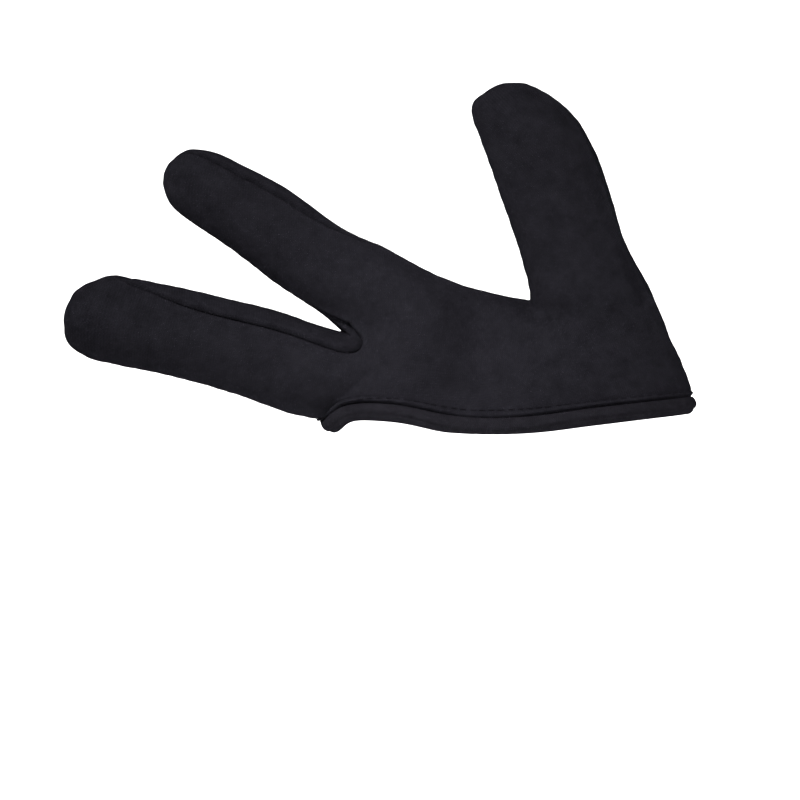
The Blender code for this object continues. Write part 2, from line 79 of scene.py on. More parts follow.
# The seam's turn in the crotch of middle and index finger, from the point midway between
# their bases: towards the wrist, out of the palm and down. The saddle is the share of the
# setback that the strip's mid line has there.
CROTCH_SETBACK = 0.0095
CROTCH_RISE = 0.0112
CROTCH_DROP = 0.0031
CROTCH_SADDLE = -0.2

# Hem binding
HEM_HEIGHT = 0.0053
HEM_THICKNESS = 0.0008
# The opening's ends as seen from below: 1 is a plain ellipse, less is blunter
FINGER_END_BLUNTNESS = 0.58
HEEL_END_BLUNTNESS = 0.75
# At the finger end the band turns out of the opening's plane: how suddenly, and how far
# its edge moves inwards and up there, in shares of the height of the panel's edge
HEM_TURN_SHARPNESS = 8
HEM_TURN_IN = 0.6
HEM_TURN_UP = 0.2

SIDES = 12
SEAM_SIDE = SIDES // 2
PALM_LEVELS = SEAM_SIDE - 1
FAIR_ROUNDS = 4
SETTLE_ROUNDS = 5
# The sharpest corner that a sewn edge's inset may reach into, as a cosine
MITRE_LIMIT = 0.35

# Finger sections from base to tip. along: share of the length. shift: sideways share of
# the width. width and depth: shares of the finger's. lift: towards the palm side, share
# of the depth. roll: degrees that the seams are turned about the finger.
# gusset: half the strip's angle in degrees.
SECTION_COLUMNS = ("along", "shift", "width", "depth", "lift", "roll", "gusset")
MIDDLE_SECTIONS = (
    (0.00, 0.000, 1.05, 1.16, 0.00, 9, 37),
    (0.12, 0.020, 1.05, 1.08, 0.02, 16, 34),
    (0.28, 0.085, 1.03, 1.02, 0.04, 18, 34),
    (0.45, 0.122, 1.00, 0.99, 0.07, 19, 34),
    (0.62, 0.138, 0.98, 0.97, 0.11, 19, 27),
    (0.78, 0.141, 0.98, 0.95, 0.16, 15, 15),
    (0.89, 0.120, 0.90, 0.87, 0.20, 12, 22),
    (0.96, 0.092, 0.66, 0.66, 0.23, 10, 30),
)
INDEX_SECTIONS = (
    (0.00, 0.000, 1.14, 1.20, 0.00, -3, 34),
    (0.13, -0.012, 1.04, 1.08, 0.02, -20, 34),
    (0.32, -0.018, 1.01, 1.02, 0.05, -36, 34),
    (0.52, 0.008, 0.99, 0.98, 0.09, -42, 28),
    (0.72, -0.020, 0.95, 0.95, 0.14, -44, 16),
    (0.87, -0.046, 0.87, 0.86, 0.19, -42, 22),
    (0.95, -0.044, 0.64, 0.66, 0.22, -38, 30),
)
THUMB_SECTIONS = (
    (0.00, 0.000, 1.13, 1.20, 0.03, -16, 30),
    (0.14, -0.003, 1.01, 1.11, 0.07, -18, 30),
    (0.32, 0.010, 1.00, 1.03, 0.12, -20, 30),
    (0.50, 0.017, 1.01, 1.00, 0.17, -20, 30),
    (0.67, 0.000, 0.97, 0.97, 0.21, -20, 30),
    (0.82, -0.062, 0.86, 0.88, 0.25, -20, 30),
    (0.94, -0.160, 0.63, 0.64, 0.28, -20, 30),
)
# How far the base section of each finger leans along the finger, as a slope
BASE_LEAN = {"middle": 0.0, "index": 0.0, "thumb": -0.20}
# Tip points on the seam over the fingertip: across in shares of the last section's half
# width, beyond in shares of the way from the last section to the tip
CAP_COLUMNS = ("across", "beyond")
CAP_POINTS = ((0.52, 0.74), (0.0, 1.0), (-0.52, 0.74))
GUSSET_RINGS = {"middle": 5, "index": 4, "thumb": 0}
# How far the strip's pointed end reaches beyond its last ring, share of the length
GUSSET_POINT = 0.06

# Points of the palm round the crotch's seam, by their column in the sheet. right and
# down: shares of the crotch's setback, from the seam's turn
GUIDE_COLUMNS = ("column", "right", "down")
CROTCH_GUIDES = (
    (1, 0.00, 0.66),
    (2, 0.54, -0.22),
)
# The seam beside its turn, on each finger's base section: how far it is drawn towards the
# wrist and down, in shares of the crotch's setback
TURN_COLUMNS = ("finger", "right", "down")
SEAM_TURN = (
    ("middle", 0.34, 0.26),
    ("index", 0.18, 0.10),
)

# The web between index and thumb: along, share of the way between the two bases, and
# sag, share of the palm height that it lies above (+) or below the straight line
WEB_COLUMNS = ("along", "sag")
WEB_POINTS = ((0.40, -0.080), (0.75, -0.048))
# The heel edge from the thumb's base to the opening: down, share of the way; out, share
# of the palm height outside the straight line; front, share of the opening's depth
# towards the palm side
HEEL_COLUMNS = ("down", "out", "front")
HEEL_POINTS = (
    (0.2, 0.012, 0.11),
    (0.4, 0.014, 0.085),
    (0.6, 0.026, 0.055),
    (0.8, 0.030, 0.03),
)
# The hem's groove line from its left to its right end: along, share of the opening's
# length, and rise, share of the palm height
HEM_LINE = (
    (0.000, 0.000),
    (0.030, 0.075),
    (0.130, 0.130),
    (0.230, 0.105),
    (0.320, 0.045),
    (0.420, 0.015),
    (0.540, 0.025),
    (0.700, 0.085),
    (0.850, 0.135),
    (1.000, 0.180),
)
# Swells of the palm: x and z as shares of the opening's length and the palm height,
# their reaches in the same shares, and height as a share of the opening's depth. They
# fade out within SWELL_FADE of the opening's depth from the middle plane.
SWELL_FADE = 0.25
SWELL_COLUMNS = ("x", "z", "reach_x", "reach_z", "height")
PALM_SWELLS = (
    (-0.34, 0.45, 0.16, 0.60, 0.045),
    (-0.10, 0.50, 0.13, 0.70, -0.070),
    (0.24, 0.70, 0.26, 0.80, 0.090),
)
BACK_SWELLS = (
    (-0.30, 0.60, 0.20, 0.60, 0.040),
    (0.10, 0.50, 0.30, 0.60, -0.030),
)

PIECES = ("palm_panel", "back_panel", "finger_gusset")
FRONT, BACK, GUSSET = range(len(PIECES))


def rows(table, columns):
    return [dict(zip(columns, row)) for row in table]


def along_table(table, x):
    """The second column at x, on a smooth curve through the table's points."""
    xs, ys = np.array(table).T
    slopes = np.gradient(ys, xs)
    i = min(max(int(np.searchsorted(xs, x)) - 1, 0), len(xs) - 2)
    step = xs[i + 1] - xs[i]
    t = (x - xs[i]) / step
    h00 = 2 * t**3 - 3 * t**2 + 1
    h10 = t**3 - 2 * t**2 + t
    h01 = 3 * t**2 - 2 * t**3
    h11 = t**3 - t**2
    return h00 * ys[i] + h10 * step * slopes[i] + h01 * ys[i + 1] + h11 * step * slopes[i + 1]


# Which of a point's three coordinates the fairing may move
FIXED = (False, False, False)
DEPTH_FREE = (False, True, False)
ALL_FREE = (True, True, True)


class Cage:
    """Named points, quads with the piece that each belongs to, and the points to fair."""

    def __init__(self):
        self.points = []
        self.index = {}
        self.quads = []
        self.pieces = []
        self.free = []

    def add(self, key, point, free=FIXED):
        self.index[key] = len(self.points)
        self.points.append(np.array(point, float))
        self.free.append(free)

    def at(self, key):
        return self.points[self.index[key]]

    def quad(self, keys, piece):
        self.quads.append([self.index[key] for key in keys])
        self.pieces.append(piece)


def finger_frame(angle):
    """Unit vectors along a finger to its tip, and across it upwards or outwards."""
    a = math.radians(angle)
    along = np.array((math.cos(a), 0.0, math.sin(a)))
    across = np.array((math.sin(a), 0.0, -math.cos(a)))
    return along, across


def side_angles(gusset):
    """Angles of a section's points: the gusset's mid line, its seam, then evenly round."""
    g = math.radians(gusset)
    half = [0.0] + [g + (math.pi - g) * k / (SEAM_SIDE - 1) for k in range(SEAM_SIDE)]
    return half + [-a for a in reversed(half[1:-1])]


def add_finger(cage, name, base, size, angle, sections, first_side):
    """A finger tube. first_side is +1 where point 0 is on the upper side, else -1."""
    length, width, depth = size
    along, across = finger_frame(angle)
    across = across * first_side
    palmward = np.array((0.0, -1.0, 0.0))
    sections = rows(sections, SECTION_COLUMNS)
    for ring, s in enumerate(sections):
        centre = base + along * length * s["along"]
        centre = centre + across * first_side * width * s["shift"]
        centre = centre + palmward * depth * s["lift"]
        lean = BASE_LEAN[name] if ring == 0 else 0.0
        for k, a in enumerate(side_angles(s["gusset"])):
            a += math.radians(s["roll"])
            out = 0.5 * width * s["width"] * math.cos(a)
            up = 0.5 * depth * s["depth"] * math.sin(a)
            point = centre + across * out + palmward * up
            point = point + along * lean * out * first_side
            if k == 0 and 0 < ring == GUSSET_RINGS[name]:
                point = point + along * length * GUSSET_POINT
            seam = k in (0, 1, SEAM_SIDE, SIDES - 1)
            cage.add((name, ring, k), point, ALL_FREE if ring == 0 and not seam else FIXED)
    last = len(sections) - 1
    for ring in range(last):
        for k in range(SIDES):
            strip = k in (0, SIDES - 1) and ring < GUSSET_RINGS[name]
            piece = GUSSET if strip else FRONT if k < SEAM_SIDE else BACK
            n = (k + 1) % SIDES
            keys = [(name, ring, k), (name, ring, n), (name, ring + 1, n), (name, ring + 1, k)]
            cage.quad(keys, piece)
    add_fingertip(cage, name, base + along * length, along, last)


def add_fingertip(cage, name, tip, along, last):
    """Closes a finger over its tip, with the seam running across the middle."""
    ends = cage.at((name, last, 0)), cage.at((name, last, SEAM_SIDE))
    middle = 0.5 * (ends[0] + ends[1])
    half = 0.5 * (ends[0] - ends[1])
    beyond = along * (tip - middle).dot(along)
    for n, c in enumerate(rows(CAP_POINTS, CAP_COLUMNS), 1):
        cage.add((name, "cap", n), middle + half * c["across"] + beyond * c["beyond"])
    seam = [(name, last, 0)] + [(name, "cap", n) for n in (1, 2, 3)] + [(name, last, SEAM_SIDE)]
    front = [(name, last, k) for k in range(1, SEAM_SIDE)]
    back = [(name, last, SIDES - k) for k in range(1, SEAM_SIDE)]
    for n in range(len(seam) - 1):
        cage.quad([seam[n], front[n], front[n + 1], seam[n + 1]], FRONT)
        cage.quad([seam[n + 1], back[n + 1], back[n], seam[n]], BACK)


def hem_point(share_angle, front):
    """A point of the hem's groove line, and one at the panel's edge below it."""
    along = 0.5 * (1 - math.cos(share_angle))
    x = OPENING_LENGTH * (along - 0.5)
    blunt = FINGER_END_BLUNTNESS if along < 0.5 else HEEL_END_BLUNTNESS
    y = -front * 0.5 * OPENING_DEPTH * max(math.sin(share_angle), 0.0) ** blunt
    z = PALM_HEIGHT * along_table(HEM_LINE, along)
    inside = HEM_HEIGHT - WALL / 2 - SEAM_GAP - HEM_THICKNESS
    turn = math.cos(share_angle) ** HEM_TURN_SHARPNESS if along < 0.5 else 0.0
    step_in = HEM_TURN_IN * inside * turn
    down = inside * (1 - HEM_TURN_UP * turn)
    return np.array((x, y, z)), np.array((x + step_in, y, z - down))


def sheet_edges():
    """Keys of each sheet's upper and left edge points, for the palm (1) and the back (-1)."""
    edges = {}
    for front in (1, -1):

        def ring(name, k, front=front):
            return (name, 0, k if front > 0 else (SIDES - k) % SIDES)

        top = [ring("middle", 1), ("crotch", front)]
        top += [ring("index", k) for k in range(1, SEAM_SIDE + 1)]
        top += [("web", n) for n in range(len(WEB_POINTS))]
        top += [ring("thumb", k) for k in range(SEAM_SIDE + 1)]
        edges[front] = top, [ring("middle", k) for k in range(1, SEAM_SIDE + 1)]
    return edges


def add_web(cage):
    left, right = cage.at(("index", 0, SEAM_SIDE)), cage.at(("thumb", 0, 0))
    for n, w in enumerate(rows(WEB_POINTS, WEB_COLUMNS)):
        point = left * (1 - w["along"]) + right * w["along"]
        cage.add(("web", n), point + np.array((0, 0, PALM_HEIGHT * w["sag"])))


def add_crotch(cage):
    """The strip's turn between middle and index finger, and the palm's points round it."""
    for turn in rows(SEAM_TURN, TURN_COLUMNS):
        for k in (1, SIDES - 1):
            seam = cage.at((turn["finger"], 0, k))
            seam += CROTCH_SETBACK * np.array((turn["right"], 0, -turn["down"]))
    saddle = 0.5 * (cage.at(("middle", 0, 0)) + cage.at(("index", 0, 0)))
    cage.add(("crotch", 0), saddle + np.array((CROTCH_SADDLE * CROTCH_SETBACK, 0, 0)))
    for front in (1, -1):
        point = saddle + np.array((CROTCH_SETBACK, -front * CROTCH_RISE, -CROTCH_DROP))
        cage.add(("crotch", front), point)
        for g in rows(CROTCH_GUIDES, GUIDE_COLUMNS):
            away = CROTCH_SETBACK * np.array((g["right"], 0, -g["down"]))
            cage.add(("palm", front, g["column"], 1), point + away, DEPTH_FREE)


def add_hem_rows(cage, last):
    """The groove line and the panels' edge below it, round the whole opening."""
    for front in (1, -1):
        for j in range(1, last):
            groove, edge = hem_point(math.pi * j / last, front)
            cage.add(("palm", front, j, PALM_LEVELS), groove)
            cage.add(("palm", front, j, PALM_LEVELS + 1), edge)
    groove, edge = hem_point(math.pi, 1)
    cage.add(("palm", "seam", last, PALM_LEVELS), groove)
    cage.add(("palm", "seam", last, PALM_LEVELS + 1), edge)
    edge = hem_point(0.0, 1)[1]
    edge[1] = cage.at(("middle", 0, SEAM_SIDE))[1]
    cage.add(("palm", "seam", 0, PALM_LEVELS + 1), edge)


def add_heel(cage, last):
    wrist = cage.at(("palm", "seam", last, PALM_LEVELS))
    top = cage.at(("thumb", 0, SEAM_SIDE))
    for i, h in enumerate(rows(HEEL_POINTS, HEEL_COLUMNS), 1):
        point = top * (1 - h["down"]) + wrist * h["down"]
        point = point + PALM_HEIGHT * np.array((h["out"], 0, 0))
        point[1] = -OPENING_DEPTH * h["front"]
        cage.add(("palm", "seam", last, i), point)


def add_palm(cage):
    """The palm's and the back's sheets, from the fingers' bases down to the opening."""
    add_web(cage)
    add_crotch(cage)
    edges = sheet_edges()
    last = len(edges[1][0]) - 1
    add_hem_rows(cage, last)
    add_heel(cage, last)
    for front, (top, left) in edges.items():
        grid = palm_grid(cage, front, top, left)
        piece = FRONT if front > 0 else BACK
        for j in range(last):
            for i in range(PALM_LEVELS + 1):
                cage.quad([grid[i][j], grid[i + 1][j], grid[i + 1][j + 1], grid[i][j + 1]], piece)
        for name in ("middle", "index"):
            seam = (name, 0, 1 if front > 0 else SIDES - 1)
            cage.quad([(name, 0, 0), seam, ("crotch", front), ("crotch", 0)], GUSSET)


def palm_grid(cage, front, top, left):
    """The sheet's keys row by row, with its inner points placed between its edges."""
    last = len(top) - 1
    grid = [list(top)]
    for i in range(1, PALM_LEVELS + 2):
        row = [left[i] if i <= PALM_LEVELS else ("palm", "seam", 0, i)]
        for j in range(1, last):
            key = ("palm", front, j, i)
            if key not in cage.index:
                v = i / PALM_LEVELS
                u = j / last
                bottom = cage.at(("palm", front, j, PALM_LEVELS))
                right = cage.at(("palm", "seam", last, i))
                corners = (
                    (1 - u) * (1 - v) * cage.at(top[0])
                    + u * (1 - v) * cage.at(top[last])
                    + (1 - u) * v * cage.at(left[PALM_LEVELS])
                    + u * v * cage.at(("palm", "seam", last, PALM_LEVELS))
                )
                point = (1 - v) * cage.at(top[j]) + v * bottom
                point = point + (1 - u) * cage.at(left[i]) + u * right - corners
                cage.add(key, point, ALL_FREE)
            row.append(key)
        row.append(("palm", "seam", last, i))
        grid.append(row)
    return grid


def neighbours(count, quads):
    """For each point: those one edge away, those across a quad, and those along the rim."""
    near = [set() for _ in range(count)]
    across = [[] for _ in range(count)]
    edges = {}
    for quad in quads:
        for n in range(4):
            a, b, c = quad[n], quad[(n + 1) % 4], quad[(n + 2) % 4]
            near[a].add(b)
            near[b].add(a)
            across[a].append(c)
            edge = (min(a, b), max(a, b))
            edges[edge] = edges.get(edge, 0) + 1
    rim = [set() for _ in range(count)]
    for (a, b), uses in edges.items():
        if uses == 1:
            rim[a].add(b)
            rim[b].add(a)
    return near, across, rim


def fair(cage):
    """Moves the free points to where the sheet bends least between the fixed ones."""
    count = len(cage.points)
    near, _, rim = neighbours(count, cage.quads)
    creased = {i for key, i in cage.index.items() if key[0] == "crotch"}
    for name in ("middle", "index"):
        creased |= {cage.index[(name, 0, k)] for k in (0, 1, SIDES - 1)}
    inner = [i for i in range(count) if not rim[i] and i not in creased]
    points = np.array(cage.points)
    free = np.array(cage.free)
    for _ in range(FAIR_ROUNDS):
        bend = np.zeros((len(inner), count))
        for row, i in enumerate(inner):
            pulls = {n: 1.0 / np.linalg.norm(points[n] - points[i]) for n in near[i]}
            total = sum(pulls.values())
            bend[row, i] = 1.0
            for n, pull in pulls.items():
                bend[row, n] = -pull / total
        for axis in range(3):
            move = free[:, axis]
            held = -bend[:, ~move] @ points[~move, axis]
            points[move, axis] = np.linalg.lstsq(bend[:, move], held, rcond=None)[0]
    return points


def swell(points, cage):
    """Raises and lowers the palm and the back of the hand, along Y."""
    out = points.copy()
    for i, (x, y, z) in enumerate(points):
        if not cage.free[i][1]:
            continue
        side = 1 if y < 0 else -1
        fade = min(1.0, abs(y) / (SWELL_FADE * OPENING_DEPTH))
        for s in rows(PALM_SWELLS if side > 0 else BACK_SWELLS, SWELL_COLUMNS):
            dx = (x / OPENING_LENGTH - s["x"]) / s["reach_x"]
            dz = (z / PALM_HEIGHT - s["z"]) / s["reach_z"]
            rise = s["height"] * OPENING_DEPTH * math.exp(-dx * dx - dz * dz)
            out[i][1] -= side * rise * fade
    return out


def settle(points, cage_map):
    """Moves the cage so that the smooth surface, not the cage, goes through the points.

    A sheet's inner points move in depth alone. The turn in the crotch is too tight to
    settle, so its seam stays where it is and the points round it lie as deep as those
    beside them.
    """
    near, across, rim = neighbours(len(points), cage_map.quads)
    turn = [cage_map.index[("crotch", side)] for side in (0, 1, -1)]
    inner = [i for key, i in cage_map.index.items() if key[0] == "palm" and cage_map.free[i][1]]
    target = points.copy()
    cage = points.copy()
    for _ in range(SETTLE_ROUNDS):
        limit = np.empty_like(cage)
        for i, p in enumerate(cage):
            if rim[i]:
                limit[i] = (4 * p + sum(cage[n] for n in rim[i])) / 6
            else:
                n = len(near[i])
                edge = sum(cage[m] for m in near[i])
                face = sum(cage[m] for m in across[i])
                limit[i] = (n * n * p + 4 * edge + face) / (n * (n + 5))
        move = target - limit
        move[turn] = 0.0
        move[inner, 0] = 0.0
        move[inner, 2] = 0.0
        cage += move
    for front in (1, -1):
        for guide in rows(CROTCH_GUIDES, GUIDE_COLUMNS):
            i = cage_map.index[("palm", front, guide["column"], 1)]
            cage[i, 1] = np.mean([cage[n, 1] for n in near[i]])
    return cage


def build_cage():
    cage = Cage()
    middle_base = np.array((-MIDDLE_BASE_SETBACK, 0.0, MIDDLE_BASE_RISE))
    index_base = np.array((-INDEX_BASE_SETBACK, 0.0, INDEX_BASE_RISE))
    thumb_base = np.array((THUMB_BASE_SETBACK, 0.0, PALM_HEIGHT))
    size = (MIDDLE_LENGTH, MIDDLE_WIDTH, MIDDLE_DEPTH)
    add_finger(cage, "middle", middle_base, size, MIDDLE_ANGLE, MIDDLE_SECTIONS, 1)
    size = (INDEX_LENGTH, INDEX_WIDTH, INDEX_DEPTH)
    add_finger(cage, "index", index_base, size, INDEX_ANGLE, INDEX_SECTIONS, -1)
    size = (THUMB_LENGTH, THUMB_WIDTH, THUMB_DEPTH)
    add_finger(cage, "thumb", thumb_base, size, THUMB_ANGLE, THUMB_SECTIONS, -1)
    add_palm(cage)
    return cage


# Levels of subdivision of the inner wall; the outer surface and the seams have one more
INNER_LEVELS = 3

# The seams' relief, in mm: the groove, and on each piece the roll beside it
GROOVE_DEPTH = 1.00
GROOVE_REACH = 0.80
ROLL_AT = 1.60
ROLL_HEIGHTS = {FRONT: 0.58, BACK: 0.34, GUSSET: 0.24}
PUCKER_PITCH = 2.3
PUCKER_SHARE = 0.20
PUCKER_REACH = 3.2
PUCKER_HEIGHT = 0.08

# Above the band, in mm from its upper edge: a narrow lip, then a faint sewn line
HEM_GROOVE_REACH = 0.55
HEM_GROOVE_DEPTH = 0.50
LIP_AT = 1.05
LIP_REACH = 0.42
LIP_HEIGHT = 0.44
LINE_AT = 1.80
LINE_REACH = 0.26
LINE_DEPTH = 0.26

# The cloth's own unevenness: size of the waves and their height, in mm
UNEVEN_COLUMNS = ("size", "height", "seed")
UNEVENNESS = (
    (17.0, 0.32, 3.0),
    (6.5, 0.11, 11.0),
    (2.4, 0.028, 23.0),
)

# The line along which the palm is smoothed, its two ends' x and z in mm
SOFT_LINE = ((-47.0, 4.5), (-37.5, 13.5))
SOFT_REACH = 4.0
SOFT_ROUNDS = 260

# Folds and bumps in the cloth, in mm: from one end to the other in the plane of the palm,
# with a sideways bow between them, the reach across and the height; side is the piece's
FOLD_COLUMNS = ("side", "x0", "z0", "x1", "z1", "bow", "reach", "height")
FOLDS = (
    # the small roll and the dent inside the crotch's turn
    (GUSSET, -46.2, 22.4, -42.6, 24.0, -0.5, 0.6, -0.30),
    (GUSSET, -47.0, 20.8, -41.6, 24.8, -1.1, 0.8, 0.40),
    # Thumb: a dent and two bumps beside the outer seam
    (FRONT, 33.6, 42.0, 38.2, 33.0, 0.5, 2.4, -1.20),
    (FRONT, 28.0, 58.5, 31.2, 49.5, 0.3, 2.0, 0.65),
    (FRONT, 37.8, 32.5, 43.5, 24.5, -0.3, 2.6, 0.80),
    # Crotch of middle and index finger: folds that run out from the seam's turn
    (FRONT, -39.0, 23.5, -26.0, 33.0, 1.5, 2.6, -0.30),
    (FRONT, -38.5, 19.0, -28.0, 8.5, -1.5, 3.0, 0.40),
    (FRONT, -22.5, 33.0, -26.0, 5.0, 1.0, 7.0, 1.90),
    (FRONT, -42.5, 17.0, -38.0, 8.0, -0.8, 2.0, 0.28),
    (FRONT, -47.5, 17.5, -46.5, 10.0, 0.4, 1.3, 0.20),
    # Palm
    (FRONT, -8.5, 31.0, -11.0, 4.0, 1.5, 6.5, -2.10),
    (FRONT, 4.0, 30.0, 20.0, 12.0, 4.0, 8.0, 0.35),
    # Back of the hand: knuckles and soft creases towards the thumb
    (BACK, -42.0, 33.0, -24.0, 24.0, 1.5, 4.5, 0.45),
    (BACK, -50.0, 12.0, -30.0, 9.0, -1.0, 4.0, 0.40),
    (BACK, 2.0, 34.0, 18.0, 20.0, 3.0, 4.0, -0.45),
    (BACK, 30.0, 46.0, 24.0, 60.0, -1.0, 2.6, -0.35),
    (BACK, 26.0, 8.0, 38.0, 14.0, 1.0, 4.0, 0.30),
    # Finger joints: shallow cross folds
    (FRONT, -78.0, 29.0, -81.0, 14.0, 0.6, 1.6, -0.22),
    (FRONT, -58.5, 60.0, -66.0, 50.0, 0.6, 1.5, -0.20),
    (FRONT, 4.5, 62.5, 22.0, 66.0, -1.2, 1.9, -0.24),
    (BACK, -79.0, 30.0, -82.0, 14.0, 0.6, 1.8, -0.30),
    (BACK, -60.0, 60.5, -67.0, 50.0, 0.6, 1.6, -0.28),
    (BACK, 5.0, 62.0, 22.5, 66.5, -1.2, 2.0, -0.30),
)

# The binding, in mm: how far its outside is rounded out, and its folded upper edge
BAND_BULGE = 0.55
BAND_TUCK = 0.45
BAND_ARC_STEPS = 14

# Stitches, in mm
STITCH_RADIUS = 0.13
SEAM_STITCH_PITCH = 2.3
SEAM_STITCH_LENGTH = 1.0
HEM_STITCH_PITCH = 2.6
HEM_STITCH_LENGTH = 2.0
STITCH_SIDES = 6


def evaluated(mesh, levels):
    """The mesh after that many levels of Catmull-Clark subdivision."""
    thing = bpy.data.objects.new("surface", mesh)
    bpy.context.scene.collection.objects.link(thing)
    smooth = thing.modifiers.new("smooth", "SUBSURF")
    smooth.levels = levels
    smooth.render_levels = levels
    smooth.boundary_smooth = "ALL"
    shown = thing.evaluated_get(bpy.context.evaluated_depsgraph_get())
    result = bpy.data.meshes.new_from_object(shown)
    bpy.data.objects.remove(thing, do_unlink=True)
    return result


def read(owner, name, width=1, kind=float):
    values = np.empty(len(owner) * width, kind)
    owner.foreach_get(name, values)
    return values.reshape(-1, width) if width > 1 else values


def cage_mesh():
    cage = build_cage()
    points = settle(swell(fair(cage), cage), cage)
    mesh = bpy.data.meshes.new("cage")
    mesh.from_pydata([Vector(p) for p in points], [], cage.quads)
    mesh.polygons.foreach_set("material_index", cage.pieces)
    for name in PIECES:
        mesh.materials.append(bpy.data.materials.get(name) or bpy.data.materials.new(name))
    sheet = bmesh.new()
    sheet.from_mesh(mesh)
    bmesh.ops.recalc_face_normals(sheet, faces=sheet.faces)
    middle = Vector(np.mean(points, axis=0))
    outward = 0.0
    for face in sheet.faces:
        outward += (face.calc_center_median() - middle).dot(face.normal) * face.calc_area()
    if outward < 0:
        bmesh.ops.reverse_faces(sheet, faces=sheet.faces)
    sheet.to_mesh(mesh)
    sheet.free()
    return mesh


def add_cloth_map(mesh):
    """A UV layer in which each piece lies flat at its real size, in metres, as it was cut."""
    layer = mesh.uv_layers.new(name="cloth")
    flat = np.zeros((len(mesh.loops), 2))
    areas = read(mesh.polygons, "area")
    pieces = read(mesh.polygons, "material_index", kind=int)
    for number in range(len(PIECES)):
        own = np.flatnonzero(pieces == number)
        piece = bpy.data.meshes.new("flat")
        piece.from_pydata(
            [v.co for v in mesh.vertices], [], [mesh.polygons[i].vertices[:] for i in own]
        )
        uv = unwrapped(piece)
        loops = [loop for i in own for loop in mesh.polygons[i].loop_indices]
        corners = uv.reshape(-1, 4, 2)
        d1 = corners[:, 2] - corners[:, 0]
        d2 = corners[:, 3] - corners[:, 1]
        flat_area = 0.5 * np.abs(d1[:, 0] * d2[:, 1] - d1[:, 1] * d2[:, 0]).sum()
        flat[loops] = uv * math.sqrt(areas[own].sum() / flat_area)
        bpy.data.meshes.remove(piece)
    layer.data.foreach_set("uv", flat.ravel())


def unwrapped(mesh):
    thing = bpy.data.objects.new("flat", mesh)
    bpy.context.scene.collection.objects.link(thing)
    bpy.context.view_layer.objects.active = thing
    for other in bpy.context.selected_objects:
        other.select_set(False)
    thing.select_set(True)
    bpy.ops.object.mode_set(mode="EDIT")
    bpy.ops.mesh.select_all(action="SELECT")
    bpy.ops.uv.unwrap(method="ANGLE_BASED", margin=0.0)
    bpy.ops.object.mode_set(mode="OBJECT")
    uv = read(mesh.uv_layers.active.data, "uv", 2)
    bpy.data.objects.remove(thing, do_unlink=True)
    return uv


class Surface:
    """The whole outer surface at the finest level, with the level above it for the inside."""

    def __init__(self):
        cage = cage_mesh()
        add_cloth_map(cage)
        coarse = evaluated(cage, INNER_LEVELS)
        fine = evaluated(coarse, 1)
        self.coarse_faces = read(coarse.loops, "vertex_index", kind=int).reshape(-1, 4)
        self.coarse_pieces = read(coarse.polygons, "material_index", kind=int)
        self.coarse_uv = read(coarse.uv_layers["cloth"].data, "uv", 2).reshape(-1, 4, 2)
        coarse_edges = read(coarse.edges, "vertices", 2, int)
        first_edge = len(coarse.vertices)
        self.halfway = {}
        for number, (a, b) in enumerate(coarse_edges):
            self.halfway[(a, b)] = first_edge + number
            self.halfway[(b, a)] = first_edge + number
        self.coords = read(fine.vertices, "co", 3)
        self.normals = read(fine.vertices, "normal", 3)
        self.faces = read(fine.loops, "vertex_index", kind=int).reshape(-1, 4)
        self.pieces = read(fine.polygons, "material_index", kind=int)
        self.uv = read(fine.uv_layers["cloth"].data, "uv", 2).reshape(-1, 4, 2)
        for mesh in (cage, coarse, fine):
            bpy.data.meshes.remove(mesh)


def directed_edges(faces):
    return np.stack([faces, np.roll(faces, -1, axis=1)], axis=2).reshape(-1, 2)


def rim_of(faces):
    """Directed edges that only one face uses."""
    edges = directed_edges(faces)
    size = faces.max() + 1
    forward = edges[:, 0] * size + edges[:, 1]
    backward = edges[:, 1] * size + edges[:, 0]
    return edges[~np.isin(forward, backward)]


def unit_rows(v):
    return v / np.maximum(np.linalg.norm(v, axis=1, keepdims=True), 1e-12)


def tree_of(points):
    tree = kdtree.KDTree(len(points))
    for number, point in enumerate(points):
        tree.insert(point, number)
    tree.balance()
    return tree


def nearest(points, targets):
    """For each point: the nearest target's number and how far away it is, in mm."""
    tree = tree_of(targets)
    found = [tree.find(point)[1:] for point in points]
    numbers = np.array([f[0] for f in found])
    return numbers, np.array([f[1] for f in found]) / MM


def seam_points(surface):
    """Points on the seams: where two different pieces meet."""
    found = set()
    for number in range(len(PIECES)):
        rim = rim_of(surface.faces[surface.pieces == number])
        found |= set(map(int, rim.ravel()))
    whole = set(map(int, rim_of(surface.faces).ravel()))
    inside = set()
    for number in range(len(PIECES)):
        rim = rim_of(surface.faces[surface.pieces == number])
        for a, b in rim:
            if int(a) in whole and int(b) in whole:
                continue
            inside |= {int(a), int(b)}
    return np.array(sorted(inside))


def opening_rows(surface, count):
    """The opening's rim in order, and that many rows of points above it."""
    rim = rim_of(surface.faces)
    following = {int(a): int(b) for a, b in rim}
    start = min(following, key=lambda i: tuple(surface.coords[i]))
    row = [start]
    while following[row[-1]] != start:
        row.append(following[row[-1]])
    near = {}
    for a, b in directed_edges(surface.faces):
        near.setdefault(int(a), set()).add(int(b))
        near.setdefault(int(b), set()).add(int(a))
    found = [row]
    seen = set(row)
    for _ in range(count):
        row = [[n for n in near[i] if n not in seen][0] for i in row]
        seen |= set(row)
        found.append(row)
    return found


